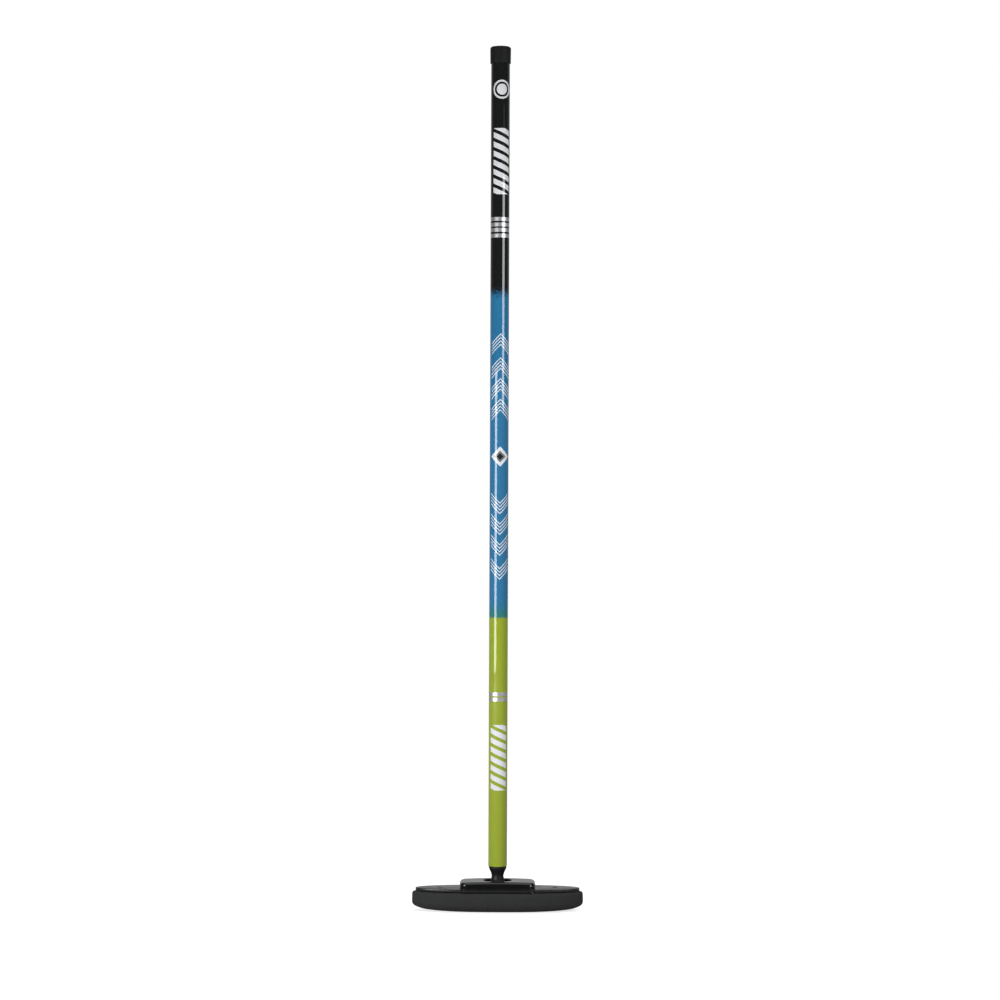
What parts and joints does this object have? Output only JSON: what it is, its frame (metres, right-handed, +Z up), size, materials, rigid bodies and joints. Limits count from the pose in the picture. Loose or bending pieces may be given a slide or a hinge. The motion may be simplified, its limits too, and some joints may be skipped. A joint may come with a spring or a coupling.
{
  "type": "curling broom",
  "caption": "Long painted shaft with a rubber butt cap, on a two-way swivel head with an oval fabric brush pad.",
  "frame": {"origin": "on the sweeping face, straight under the swivel and the shaft", "axes": "+Z up the shaft, X along the head, Y fore and aft"},
  "size_m": [0.232, 0.065, 1.171],
  "materials": {
    "painted_tube": "gloss clear coat over black, blue and green paint",
    "cap_rubber": "matte moulded",
    "black_nylon": "satin moulded",
    "bright_steel": "bright ground",
    "acetal": "satin moulded",
    "ring_rubber": "smooth moulded",
    "gloss_black": "gloss moulded",
    "black_steel": "black oxide",
    "satin_black": "satin moulded",
    "board_plastic": "matte sheet",
    "foam": "closed cell foam",
    "pad_fabric": "woven, dull"
  },
  "bodies": {
    "shaft": {"shaft_tube": "painted_tube", "butt_cap": "cap_rubber", "neck_ball": "black_nylon"},
    "cross_pin": {"swivel_cross_pin": "bright_steel"},
    "head": {"ball_seat_lower": "acetal", "ball_seat_upper": "acetal", "seat_o_ring": "ring_rubber", "pivot_housing": "gloss_black", "housing_screw_1": "black_steel", "housing_screw_2": "black_steel", "housing_screw_3": "black_steel", "housing_screw_4": "black_steel", "head_plate": "satin_black", "pad_screw_left": "black_steel", "pad_screw_right": "black_steel", "pad_nut_left": "bright_steel", "pad_nut_right": "bright_steel", "pad_backing_board": "board_plastic", "pad_foam": "foam", "pad_cover": "pad_fabric"}
  },
  "joints": [
    {"name": "side_tilt", "type": "hinge", "parent": "shaft", "child": "cross_pin", "pos_m": [0, 0, 0.035], "axis": [0, 1, 0], "range_deg": [-20, 20]},
    {"name": "fore_aft_tilt", "type": "hinge", "parent": "cross_pin", "child": "head", "pos_m": [0, 0, 0.035], "axis": [1, 0, 0], "range_deg": [-30, 30]}
  ]
}
